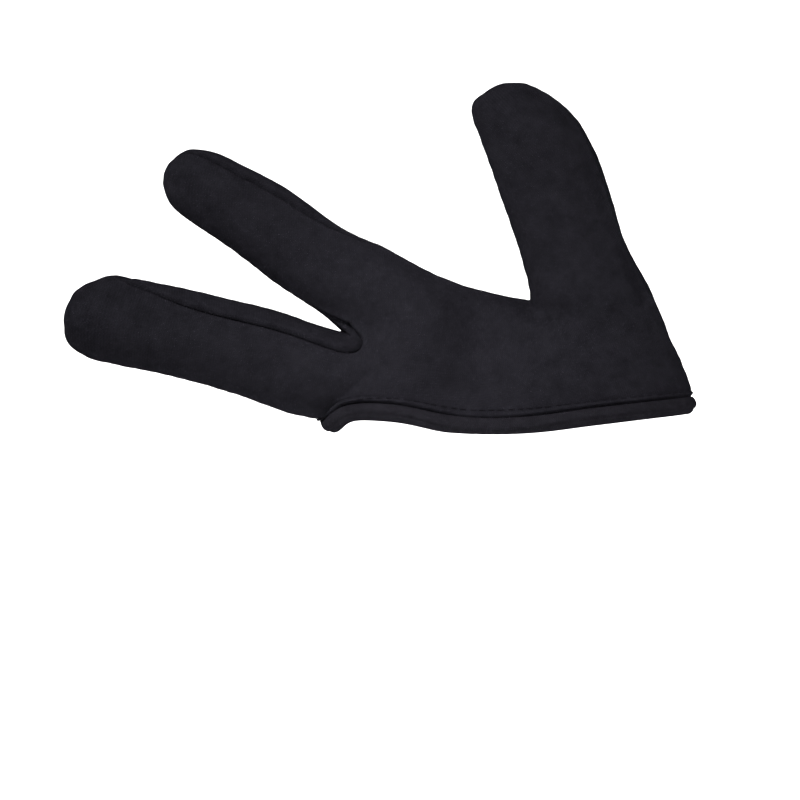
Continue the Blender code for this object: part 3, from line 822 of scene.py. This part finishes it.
def fold_relief(points, pieces):
    """The relief of the table's folds, in mm."""
    x = points[:, 0] / MM
    z = points[:, 2] / MM
    relief = np.zeros(len(points))
    for f in rows(FOLDS, FOLD_COLUMNS):
        start = np.array((f["x0"], f["z0"]))
        way = np.array((f["x1"], f["z1"])) - start
        length = np.linalg.norm(way)
        way = way / length
        along = ((x - start[0]) * way[0] + (z - start[1]) * way[1]) / length
        side = (z - start[1]) * way[0] - (x - start[0]) * way[1]
        side = side - f["bow"] * 4 * along * (1 - along)
        ends = np.clip(np.minimum(along, 1 - along) + 0.25, 0.0, 0.5) * 2
        ends = ends * ends * (3 - 2 * ends)
        own = pieces == f["side"]
        relief += own * f["height"] * ends * np.exp(-((side / f["reach"]) ** 2))
    return relief


def bell(distance, reach):
    return np.exp(-((distance / reach) ** 2))


def soften(surface, table, groove_row):
    """Smooths the palm's depth beside the hem's turn, where the coarse net has a crease."""
    x, y, z = surface.coords.T / MM
    start, end = np.array(SOFT_LINE)
    way = end - start
    share = np.clip(((x - start[0]) * way[0] + (z - start[1]) * way[1]) / way.dot(way), 0, 1)
    away = np.hypot(x - start[0] - share * way[0], z - start[1] - share * way[1])
    weight = 0.5 * bell(away, SOFT_REACH) * (y < 0)
    for number, row in enumerate(table):
        above = (number - groove_row) / (len(table) - 1 - groove_row)
        weight[row] *= min(max(above, 0.0), 1.0)
    own = np.flatnonzero(weight > 0.01)
    edges = directed_edges(surface.faces)
    edges = edges[np.isin(edges[:, 0], own)]
    count = np.bincount(edges[:, 0], minlength=len(x))[own]
    depth = surface.coords[:, 1]
    for _ in range(SOFT_ROUNDS):
        total = np.bincount(edges[:, 0], depth[edges[:, 1]], minlength=len(x))[own]
        depth[own] += weight[own] * (total / count - depth[own])


def relief_of(surface, groove_line):
    """How far each point of the surface stands out, in mm."""
    points = surface.coords
    pieces = np.zeros(len(points), int)
    pieces[surface.faces.ravel()] = np.repeat(surface.pieces, 4)
    seams = seam_points(surface)
    number, away = nearest(points, points[seams])
    pitch = PUCKER_PITCH * MM
    pucker = np.array([noise.noise(Vector(p) / pitch) for p in points[seams]])[number]
    rolls = np.array([ROLL_HEIGHTS[n] for n in range(len(PIECES))])[pieces]
    hump = (away / ROLL_AT) ** 2 * np.exp(1 - (away / ROLL_AT) ** 2)
    relief = rolls * hump * (1 + PUCKER_SHARE * pucker)
    relief += PUCKER_HEIGHT * pucker * hump_of(away)
    relief -= GROOVE_DEPTH * bell(away, GROOVE_REACH)

    _, up = nearest(points, points[groove_line])
    relief -= HEM_GROOVE_DEPTH * bell(up, HEM_GROOVE_REACH)
    relief += LIP_HEIGHT * bell(up - LIP_AT, LIP_REACH)
    relief -= LINE_DEPTH * bell(up - LINE_AT, LINE_REACH)

    quiet = 1 - bell(away, ROLL_AT)
    folds = fold_relief(points, pieces)
    for wave in rows(UNEVENNESS, UNEVEN_COLUMNS):
        shift = Vector((wave["seed"],) * 3)
        size = wave["size"] * MM
        folds += wave["height"] * np.array([noise.noise(Vector(p) / size + shift) for p in points])
    return relief + folds * quiet


def hump_of(away):
    """Rises from nothing at the seam and fades out again further off."""
    share = away / PUCKER_REACH
    return share * np.exp(1 - share) * bell(away, 2 * PUCKER_REACH)


def rim_insets(coords, normals, rim, open_rim):
    """How far each point on a sewn edge is drawn back into its piece."""
    keep = np.array([not (int(a) in open_rim and int(b) in open_rim) for a, b in rim])
    edges = rim[keep]
    inward = np.zeros_like(coords)
    sides = np.zeros(len(coords))
    step = coords[edges[:, 1]] - coords[edges[:, 0]]
    for end in (0, 1):
        away = unit_rows(np.cross(normals[edges[:, end]], step))
        np.add.at(inward, edges[:, end], away)
        np.add.at(sides, edges[:, end], 1)
    reach = np.maximum(MITRE_LIMIT, (inward**2).sum(axis=1) / np.maximum(sides, 1))
    return inward * (SEAM_GAP / 2) / reach[:, None]


def build_panel(surface, number, moved, open_rim):
    """One sewn piece: its outside, its inner wall, and the cut edge between them."""
    outer_faces = surface.faces[surface.pieces == number]
    inner_faces = surface.coarse_faces[surface.coarse_pieces == number]
    rim = rim_of(outer_faces)
    insets = rim_insets(surface.coords, surface.normals, rim, open_rim)
    outer_used, outer_new = np.unique(outer_faces, return_inverse=True)
    inner_used, inner_new = np.unique(inner_faces, return_inverse=True)
    outer_new = outer_new.reshape(outer_faces.shape)
    inner_new = inner_new.reshape(inner_faces.shape) + len(outer_used)
    outer = (moved + insets)[outer_used]
    inner = (surface.coords + insets - surface.normals * WALL)[inner_used]
    outer_at = {int(old): new for new, old in enumerate(outer_used)}
    inner_at = {int(old): new + len(outer_used) for new, old in enumerate(inner_used)}
    faces = [list(map(int, f)) for f in outer_new]
    faces += [list(map(int, f[::-1])) for f in inner_new]
    wall = []
    for a, b in rim_of(inner_faces):
        a, b = int(a), int(b)
        middle = outer_at[surface.halfway[(a, b)]]
        wall.append([middle, outer_at[a], inner_at[a]])
        wall.append([outer_at[b], middle, inner_at[b]])
        wall.append([middle, inner_at[a], inner_at[b]])
    mesh = bpy.data.meshes.new(PIECES[number] + "_cloth")
    mesh.from_pydata([Vector(p) for p in np.vstack([outer, inner])], [], faces + wall)
    layer = mesh.uv_layers.new(name="cloth")
    uv = np.vstack([
        surface.uv[surface.pieces == number].reshape(-1, 2),
        surface.coarse_uv[surface.coarse_pieces == number][:, ::-1].reshape(-1, 2),
        np.zeros((3 * len(wall), 2)),
    ])
    layer.data.foreach_set("uv", uv.ravel())
    return mesh


def build_band(surface, moved, table):
    """The binding: a closed band whose outside is rounded and whose upper edges tuck in."""
    at, normal_at = surface.coords, surface.normals
    clear = SEAM_GAP
    outside = []
    for column in range(len(table[0])):
        down_rows = [row[column] for row in reversed(table)]
        low = down_rows[-1]
        normal = normal_at[low] / np.linalg.norm(normal_at[low])
        down = at[low] - at[down_rows[-3]]
        down = down - normal * down.dot(normal)
        down = down / np.linalg.norm(down)
        centre = at[low] - normal * WALL / 2
        outer = []
        inner = []
        last = len(down_rows) - 1
        for n, i in enumerate(down_rows):
            share = n / last
            rise = band_rise(share)
            outer.append(at[i] + normal_at[i] * (clear + HEM_THICKNESS * rise))
            inner.append(at[i] + normal_at[i] * clear * min(1.0, 4 * share))
        section = outer[:-1]
        for step in range(BAND_ARC_STEPS + 1):
            a = math.pi * step / BAND_ARC_STEPS
            bulge = band_rise(1.0) * HEM_THICKNESS * (1 - 0.5 * step / BAND_ARC_STEPS)
            turn = normal * math.cos(a) + down * math.sin(a)
            section.append(centre + (WALL / 2 + clear + bulge) * turn)
        under = []
        for n, i in reversed(list(enumerate(down_rows[:-1]))):
            share = n / last
            lift = WALL + clear + HEM_THICKNESS * (0.5 * band_rise(share))
            under.append(at[i] - normal_at[i] * lift)
        section += under
        for n, i in enumerate(down_rows[:-1]):
            section.append(at[i] - normal_at[i] * (WALL + 0.3 * clear))
        for step in range(4):
            a = math.pi * (1 - step / 3)
            turn = normal * math.cos(a) + down * math.sin(a)
            section.append(centre + (WALL / 2 + 0.5 * clear) * turn)
        for n, i in reversed(list(enumerate(down_rows[:-1]))):
            section.append(at[i] + normal_at[i] * 0.3 * clear)
        outside.append(section)
    width = len(outside[0])
    points = [Vector(p) for section in outside for p in section]
    quads = []
    for n in range(len(outside)):
        m = (n + 1) % len(outside)
        for k in range(width):
            j = (k + 1) % width
            quads.append([n * width + k, n * width + j, m * width + j, m * width + k])
    mesh = bpy.data.meshes.new("hem_binding_cloth")
    mesh.from_pydata(points, [], quads)
    layer = mesh.uv_layers.new(name="cloth")
    lengths = np.array([[(Vector(s[(k + 1) % width]) - Vector(s[k])).length for k in range(width)]
                        for s in outside]).mean(axis=0)
    across = np.concatenate([[0.0], np.cumsum(lengths)])
    steps = [np.linalg.norm(at[table[0][(n + 1) % len(outside)]] - at[table[0][n]])
             for n in range(len(outside))]
    along = np.concatenate([[0.0], np.cumsum(steps)])
    uv = []
    for n in range(len(outside)):
        for k in range(width):
            uv += [(across[k], along[n]), (across[k + 1], along[n]),
                   (across[k + 1], along[n + 1]), (across[k], along[n + 1])]
    layer.data.foreach_set("uv", np.array(uv).ravel())
    fix_normals(mesh)
    return mesh


def band_rise(share):
    """The outside's rise over the band's depth: tucked in at the groove, then rounded."""
    round_share = max(0.0, math.sin(math.pi * min(1.0, 0.06 + 0.80 * share)))
    return -BAND_TUCK + (1 + BAND_TUCK + BAND_BULGE) * round_share**0.55


def fix_normals(mesh):
    sheet = bmesh.new()
    sheet.from_mesh(mesh)
    bmesh.ops.recalc_face_normals(sheet, faces=sheet.faces)
    sheet.to_mesh(mesh)
    sheet.free()


def add_stitch(points, quads, centre, way, out, length, radius):
    """A stitch: a short thread with rounded, sunken ends."""
    across = np.cross(way, out)
    across = across / np.linalg.norm(across)
    first = len(points)
    profile = ((-0.5, 0.35, -0.9), (-0.42, 0.85, -0.2), (-0.2, 1.0, 0.25),
               (0.2, 1.0, 0.25), (0.42, 0.85, -0.2), (0.5, 0.35, -0.9))
    for share, thick, rise in profile:
        middle = centre + way * share * length + out * rise * radius
        for k in range(STITCH_SIDES):
            a = 2 * math.pi * k / STITCH_SIDES
            points.append(middle + (across * math.cos(a) + out * math.sin(a)) * thick * radius)
    for n in range(len(profile) - 1):
        for k in range(STITCH_SIDES):
            j = (k + 1) % STITCH_SIDES
            a = first + n * STITCH_SIDES
            b = a + STITCH_SIDES
            quads.append([a + k, a + j, b + j, b + k])
    quads.append([first + k for k in reversed(range(STITCH_SIDES))])
    end = first + (len(profile) - 1) * STITCH_SIDES
    quads.append([end + k for k in range(STITCH_SIDES)])


def seam_chains(surface):
    """The seams as chains of points in order, with the normal at each point."""
    whole = set(map(int, rim_of(surface.faces).ravel()))
    links = {}
    for number in range(len(PIECES)):
        for a, b in rim_of(surface.faces[surface.pieces == number]):
            a, b = int(a), int(b)
            if a in whole and b in whole:
                continue
            links.setdefault(a, set()).add(b)
            links.setdefault(b, set()).add(a)
    chains = []
    ends = sorted(i for i, near in links.items() if len(near) != 2)
    used = set()
    for start in ends:
        for step in sorted(links[start]):
            if (start, step) in used:
                continue
            chain = [start, step]
            while len(links[chain[-1]]) == 2:
                chain.append([n for n in links[chain[-1]] if n != chain[-2]][0])
            used.add((chain[-1], chain[-2]))
            used.add((start, step))
            chains.append(chain)
    return chains


def place_along(at, chain, pitch):
    """Places every pitch along a chain: the point's number and the chain's direction."""
    steps = np.linalg.norm(np.diff(at[chain], axis=0), axis=1)
    along = np.concatenate([[0.0], np.cumsum(steps)])
    count = max(1, int(along[-1] / pitch))
    for n in range(count):
        k = int(np.searchsorted(along, (n + 0.5) * along[-1] / count))
        k = min(max(k, 2), len(chain) - 3)
        way = at[chain[k + 2]] - at[chain[k - 2]]
        yield chain[k], way / np.linalg.norm(way)


def build_seam_stitches(surface, moved):
    """Threads that cross the seams at the bottom of the groove."""
    points, quads = [], []
    for chain in seam_chains(surface):
        if len(chain) < 12:
            continue
        for i, way in place_along(moved, chain, SEAM_STITCH_PITCH * MM):
            out = surface.normals[i] / np.linalg.norm(surface.normals[i])
            across = np.cross(out, way)
            centre = moved[i] - out * 0.05 * MM
            lean = across + 0.35 * way
            lean = lean / np.linalg.norm(lean)
            add_stitch(points, quads, centre, lean, out, SEAM_STITCH_LENGTH * MM, STITCH_RADIUS * MM)
    return thread_mesh("seam_stitches", points, quads)


def build_hem_stitches(surface, moved, line):
    """A row of stitches along the faint line above the binding."""
    points, quads = [], []
    chain = list(line) + [line[0]]
    for i, way in place_along(moved, chain, HEM_STITCH_PITCH * MM):
        out = surface.normals[i] / np.linalg.norm(surface.normals[i])
        add_stitch(points, quads, moved[i], way, out, HEM_STITCH_LENGTH * MM, STITCH_RADIUS * MM)
    return thread_mesh("hem_stitches", points, quads)


def thread_mesh(name, points, quads):
    mesh = bpy.data.meshes.new(name)
    mesh.from_pydata([Vector(p) for p in points], [], quads)
    return mesh


# Materials
CLOTH_DARK = (0.0022, 0.00213, 0.0027, 1.0)
CLOTH_LIGHT = (0.0108, 0.0104, 0.0131, 1.0)
BAND_DARK = (0.0025, 0.0024, 0.0030, 1.0)
BAND_LIGHT = (0.0114, 0.0109, 0.0134, 1.0)
# Painted light: the cloth's tone is lighter round this point on the palm and darker further off,
# towards the fingertips, by a share of tone per metre from there
PAINTED_LIGHT_CENTRE = (-0.025, 0.0, 0.018)
PAINTED_LIGHT_FADE = 4.0
THREAD_DARK = (0.0018, 0.0017, 0.0022, 1.0)
THREAD_LIGHT = (0.0038, 0.0036, 0.0045, 1.0)


class Nodes:
    """Short ways to add nodes to a material."""

    def __init__(self, name):
        self.material = bpy.data.materials.get(name) or bpy.data.materials.new(name)
        self.material.use_nodes = True
        self.tree = self.material.node_tree
        self.tree.nodes.clear()
        self.shader = self.add("ShaderNodeBsdfPrincipled")
        output = self.add("ShaderNodeOutputMaterial")
        self.link(self.shader.outputs["BSDF"], output.inputs["Surface"])

    def add(self, kind, **settings):
        node = self.tree.nodes.new(kind)
        for key, value in settings.items():
            setattr(node, key, value)
        return node

    def link(self, source, target):
        if hasattr(source, "is_linked") or hasattr(source, "links"):
            self.tree.links.new(source, target)
        else:
            target.default_value = source

    def math(self, operation, a, b=None, c=None):
        node = self.add("ShaderNodeMath", operation=operation)
        for socket, value in zip(node.inputs, (a, b, c)):
            if value is None:
                continue
            self.link(value, socket)
        return node.outputs[0]

    def noise(self, vector, scale, detail=2.0, roughness=0.5):
        node = self.add("ShaderNodeTexNoise")
        self.link(vector, node.inputs["Vector"])
        node.inputs["Scale"].default_value = scale
        node.inputs["Detail"].default_value = detail
        node.inputs["Roughness"].default_value = roughness
        return node.outputs[0]


def knit_height(nodes, u, v, wale, course):
    """Loops of a plain knit: V shapes in columns, from 0 between the yarns to 1 on them."""
    column = nodes.math("DIVIDE", u, wale)
    zigzag = nodes.math("PINGPONG", column, 0.5)
    slant = nodes.math("MULTIPLY", zigzag, 1.3)
    row = nodes.math("ADD", nodes.math("DIVIDE", v, course), slant)
    yarn = nodes.math("SINE", nodes.math("MULTIPLY", row, 2 * math.pi))
    yarn = nodes.math("MULTIPLY_ADD", yarn, 0.5, 0.5)
    leg = nodes.math("SINE", nodes.math("MULTIPLY", zigzag, 2 * math.pi))
    return nodes.math("MULTIPLY", nodes.math("POWER", yarn, 0.7), nodes.math("POWER", leg, 0.5))


def knit_material(name, dark, light, wale, course, strength):
    """Matt knit: soft patches of lighter yarn, fine loops, a little fuzz, and painted light that is
    lighter on the palm and darker further off.
    """
    nodes = Nodes(name)
    place = nodes.add("ShaderNodeTexCoord").outputs["Object"]
    cloth = nodes.add("ShaderNodeUVMap", uv_map="cloth").outputs["UV"]
    split = nodes.add("ShaderNodeSeparateXYZ")
    nodes.link(cloth, split.inputs[0])
    height = knit_height(nodes, split.outputs[0], split.outputs[1], wale, course)
    patches = nodes.noise(place, 210.0, 4.0, 0.62)
    fuzz = nodes.noise(place, 2600.0, 2.0, 0.7)
    grain = nodes.noise(place, 700.0, 2.0, 0.6)
    tone = nodes.math("MULTIPLY", patches, 0.55)
    tone = nodes.math("MULTIPLY_ADD", fuzz, 0.45, tone)
    tone = nodes.math("MULTIPLY_ADD", height, 0.28, tone)
    tone = nodes.math("MULTIPLY_ADD", grain, 0.35, tone)
    # Painted light: the tone falls off with distance from a point on the palm, so the palm is
    # painted lighter and the fingertips darker
    reach = nodes.add("ShaderNodeVectorMath", operation="DISTANCE")
    nodes.link(place, reach.inputs[0])
    reach.inputs[1].default_value = PAINTED_LIGHT_CENTRE
    painted_light_falloff = nodes.math("MULTIPLY", reach.outputs["Value"], PAINTED_LIGHT_FADE)
    tone = nodes.math("SUBTRACT", tone, nodes.math("ADD", painted_light_falloff, 0.22))
    ramp = nodes.add("ShaderNodeValToRGB")
    ramp.color_ramp.elements[0].color = dark
    ramp.color_ramp.elements[1].color = light
    nodes.link(tone, ramp.inputs[0])
    nodes.link(ramp.outputs[0], nodes.shader.inputs["Base Color"])
    rough = nodes.add("ShaderNodeMapRange")
    nodes.link(fuzz, rough.inputs["Value"])
    rough.inputs["To Min"].default_value = 0.82
    rough.inputs["To Max"].default_value = 1.0
    nodes.link(rough.outputs[0], nodes.shader.inputs["Roughness"])
    relief = nodes.math("MULTIPLY_ADD", fuzz, 0.5, height)
    relief = nodes.math("MULTIPLY_ADD", grain, 0.6, relief)
    bump = nodes.add("ShaderNodeBump")
    bump.inputs["Strength"].default_value = strength
    bump.inputs["Distance"].default_value = 0.00016
    nodes.link(relief, bump.inputs["Height"])
    nodes.link(bump.outputs[0], nodes.shader.inputs["Normal"])
    nodes.shader.inputs["Specular IOR Level"].default_value = 0.0
    return nodes.material


def thread_material(name):
    nodes = Nodes(name)
    place = nodes.add("ShaderNodeTexCoord").outputs["Object"]
    twist = nodes.noise(place, 3800.0, 2.0, 0.6)
    ramp = nodes.add("ShaderNodeValToRGB")
    ramp.color_ramp.elements[0].color = THREAD_DARK
    ramp.color_ramp.elements[1].color = THREAD_LIGHT
    nodes.link(twist, ramp.inputs[0])
    nodes.link(ramp.outputs[0], nodes.shader.inputs["Base Color"])
    bump = nodes.add("ShaderNodeBump")
    bump.inputs["Strength"].default_value = 0.5
    bump.inputs["Distance"].default_value = 0.00006
    nodes.link(twist, bump.inputs["Height"])
    nodes.link(bump.outputs[0], nodes.shader.inputs["Normal"])
    nodes.shader.inputs["Roughness"].default_value = 0.8
    nodes.shader.inputs["Specular IOR Level"].default_value = 0.0
    return nodes.material


def add_object(name, mesh, material, replaced=None):
    mesh.materials.clear()
    mesh.materials.append(material)
    mesh.shade_smooth()
    piece = bpy.data.objects.new(name, mesh)
    bpy.context.scene.collection.objects.link(piece)
    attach(piece, "root")
    if replaced:
        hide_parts(replaced)
    return piece


# Stage, light and camera: the view shows VIEW_WIDTH metres across at the glove
VIEW_WIDTH = 0.2222
VIEW_CENTRE = (-0.0300, 0.0056)
CAMERA_DISTANCE = 1.2
SENSOR = 36.0
FLOOR_DROP = 0.125
FLOOR_RADIUS = 2.6
STAGE_BEND = 1.2
STAGE_HEIGHT = 2.6
STAGE_STEPS = 12
STAGE_SIDES = 96
STAGE_COLOUR = (0.92, 0.92, 0.92, 1.0)

GLOVE = (-0.03, 0.0, 0.03)
LIGHT_COLUMNS = ("name", "place", "aim", "width", "height", "power")
LIGHTS = (
    ("key", (-0.72, -0.68, 0.84), GLOVE, 0.22, 0.22, 44.0),
    ("right", (1.05, -0.55, 0.50), GLOVE, 0.4, 0.6, 19.0),
    ("back", (0.40, 1.20, 1.20), GLOVE, 0.9, 0.7, 8.0),
    ("wall", (0.00, 0.90, 1.90), (0.0, 3.6, 0.4), 2.4, 0.8, 150.0),
)
WORLD_STRENGTH = 0.30


def add_stage():
    """A pale floor that curves up all round, so that it is behind the glove in every view."""
    profile = [(0.0, 0.0), (0.5 * FLOOR_RADIUS, 0.0)]
    for step in range(STAGE_STEPS + 1):
        a = 0.5 * math.pi * step / STAGE_STEPS
        profile.append((FLOOR_RADIUS + STAGE_BEND * math.sin(a), STAGE_BEND * (1 - math.cos(a))))
    profile.append((FLOOR_RADIUS + STAGE_BEND, STAGE_HEIGHT))
    points = []
    for radius, height in profile:
        for n in range(STAGE_SIDES):
            a = 2 * math.pi * n / STAGE_SIDES
            points.append((radius * math.cos(a), radius * math.sin(a), height - FLOOR_DROP))
    quads = []
    for level in range(len(profile) - 1):
        for n in range(STAGE_SIDES):
            m = (n + 1) % STAGE_SIDES
            low = level * STAGE_SIDES
            high = low + STAGE_SIDES
            quads.append([low + n, low + m, high + m, high + n])
    mesh = bpy.data.meshes.new("backdrop")
    mesh.from_pydata(points, [], quads)
    mesh.shade_smooth()
    nodes = Nodes("pale_paper")
    nodes.shader.inputs["Base Color"].default_value = STAGE_COLOUR
    nodes.shader.inputs["Roughness"].default_value = 0.95
    nodes.shader.inputs["Specular IOR Level"].default_value = 0.1
    mesh.materials.append(nodes.material)
    stage = bpy.data.objects.new("backdrop", mesh)
    bpy.context.scene.collection.objects.link(stage)


def add_lights():
    for entry in rows(LIGHTS, LIGHT_COLUMNS):
        light = bpy.data.lights.new(entry["name"], "AREA")
        light.shape = "RECTANGLE"
        light.size = entry["width"]
        light.size_y = entry["height"]
        light.energy = entry["power"]
        lamp = bpy.data.objects.new(entry["name"], light)
        lamp.location = entry["place"]
        aim = Vector(entry["aim"])
        lamp.rotation_euler = (aim - lamp.location).to_track_quat("-Z", "Y").to_euler()
        lamp.visible_camera = False
        bpy.context.scene.collection.objects.link(lamp)
    world = bpy.data.worlds.new("studio")
    world.use_nodes = True
    world.node_tree.nodes["Background"].inputs["Color"].default_value = (1.0, 1.0, 1.0, 1.0)
    world.node_tree.nodes["Background"].inputs["Strength"].default_value = WORLD_STRENGTH
    bpy.context.scene.world = world
    bpy.context.scene.view_settings.view_transform = "Standard"


def add_camera():
    camera = bpy.data.cameras.new("camera")
    camera.sensor_width = SENSOR
    camera.sensor_height = SENSOR
    camera.lens = SENSOR * CAMERA_DISTANCE / VIEW_WIDTH
    holder = bpy.data.objects.new("camera", camera)
    holder.location = (VIEW_CENTRE[0], -CAMERA_DISTANCE, VIEW_CENTRE[1])
    holder.rotation_euler = (math.pi / 2, 0.0, 0.0)
    bpy.context.scene.collection.objects.link(holder)
    bpy.context.scene.camera = holder


def main():
    cloth = knit_material("cloth_knit", CLOTH_DARK, CLOTH_LIGHT, 0.00085, 0.00062, 0.55)
    band_cloth = knit_material("band_knit", BAND_DARK, BAND_LIGHT, 0.00080, 0.00060, 0.6)
    thread = thread_material("thread")
    surface = Surface()
    rows_per_cage_row = 2 ** (INNER_LEVELS + 1)
    table = opening_rows(surface, rows_per_cage_row + 8)
    groove_line = table[rows_per_cage_row]
    soften(surface, table, rows_per_cage_row)
    relief = relief_of(surface, groove_line) * MM
    moved = surface.coords + surface.normals * relief[:, None]
    open_rim = set(map(int, rim_of(surface.faces).ravel()))
    for number, name in enumerate(PIECES):
        mesh = build_panel(surface, number, moved, open_rim)
        add_object(name + "_cloth", mesh, cloth, name)
    band = build_band(surface, moved, table[: rows_per_cage_row + 1])
    add_object("hem_binding_cloth", band, band_cloth, "hem_binding")
    add_object("seam_stitches", build_seam_stitches(surface, moved), thread)
    stitch_row = table[rows_per_cage_row + 5]
    add_object("hem_stitches", build_hem_stitches(surface, moved, stitch_row), thread)
    add_stage()
    add_lights()
    add_camera()


main()
